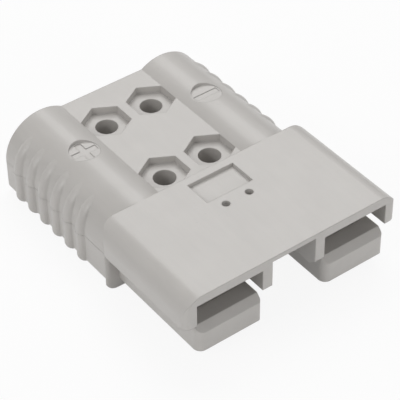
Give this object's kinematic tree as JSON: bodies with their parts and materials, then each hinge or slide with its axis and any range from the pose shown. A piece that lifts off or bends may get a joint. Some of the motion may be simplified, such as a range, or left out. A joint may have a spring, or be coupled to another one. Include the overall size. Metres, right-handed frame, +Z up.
{
  "type": "genderless power connector",
  "caption": "Flat two-pole genderless power connector: hooded mating bays over two tongues, two ribbed cable barrels, four through holes with hexagonal pockets",
  "frame": {"origin": "middle of the underside, the plane on which the connector rests", "axes": "+Z up through the thickness, -Y toward the mating side, +Y toward the cable side, +X across the two poles"},
  "size_m": [0.092, 0.1134, 0.03],
  "materials": {
    "housing": "moulded satin, light warm grey",
    "contact": "silver-plated copper, bright",
    "spring": "rolled stainless strip"
  },
  "bodies": {
    "root": {"housing": "housing", "contact_positive": "contact", "contact_negative": "contact", "spring_positive": "spring", "spring_negative": "spring"}
  },
  "joints": []
}
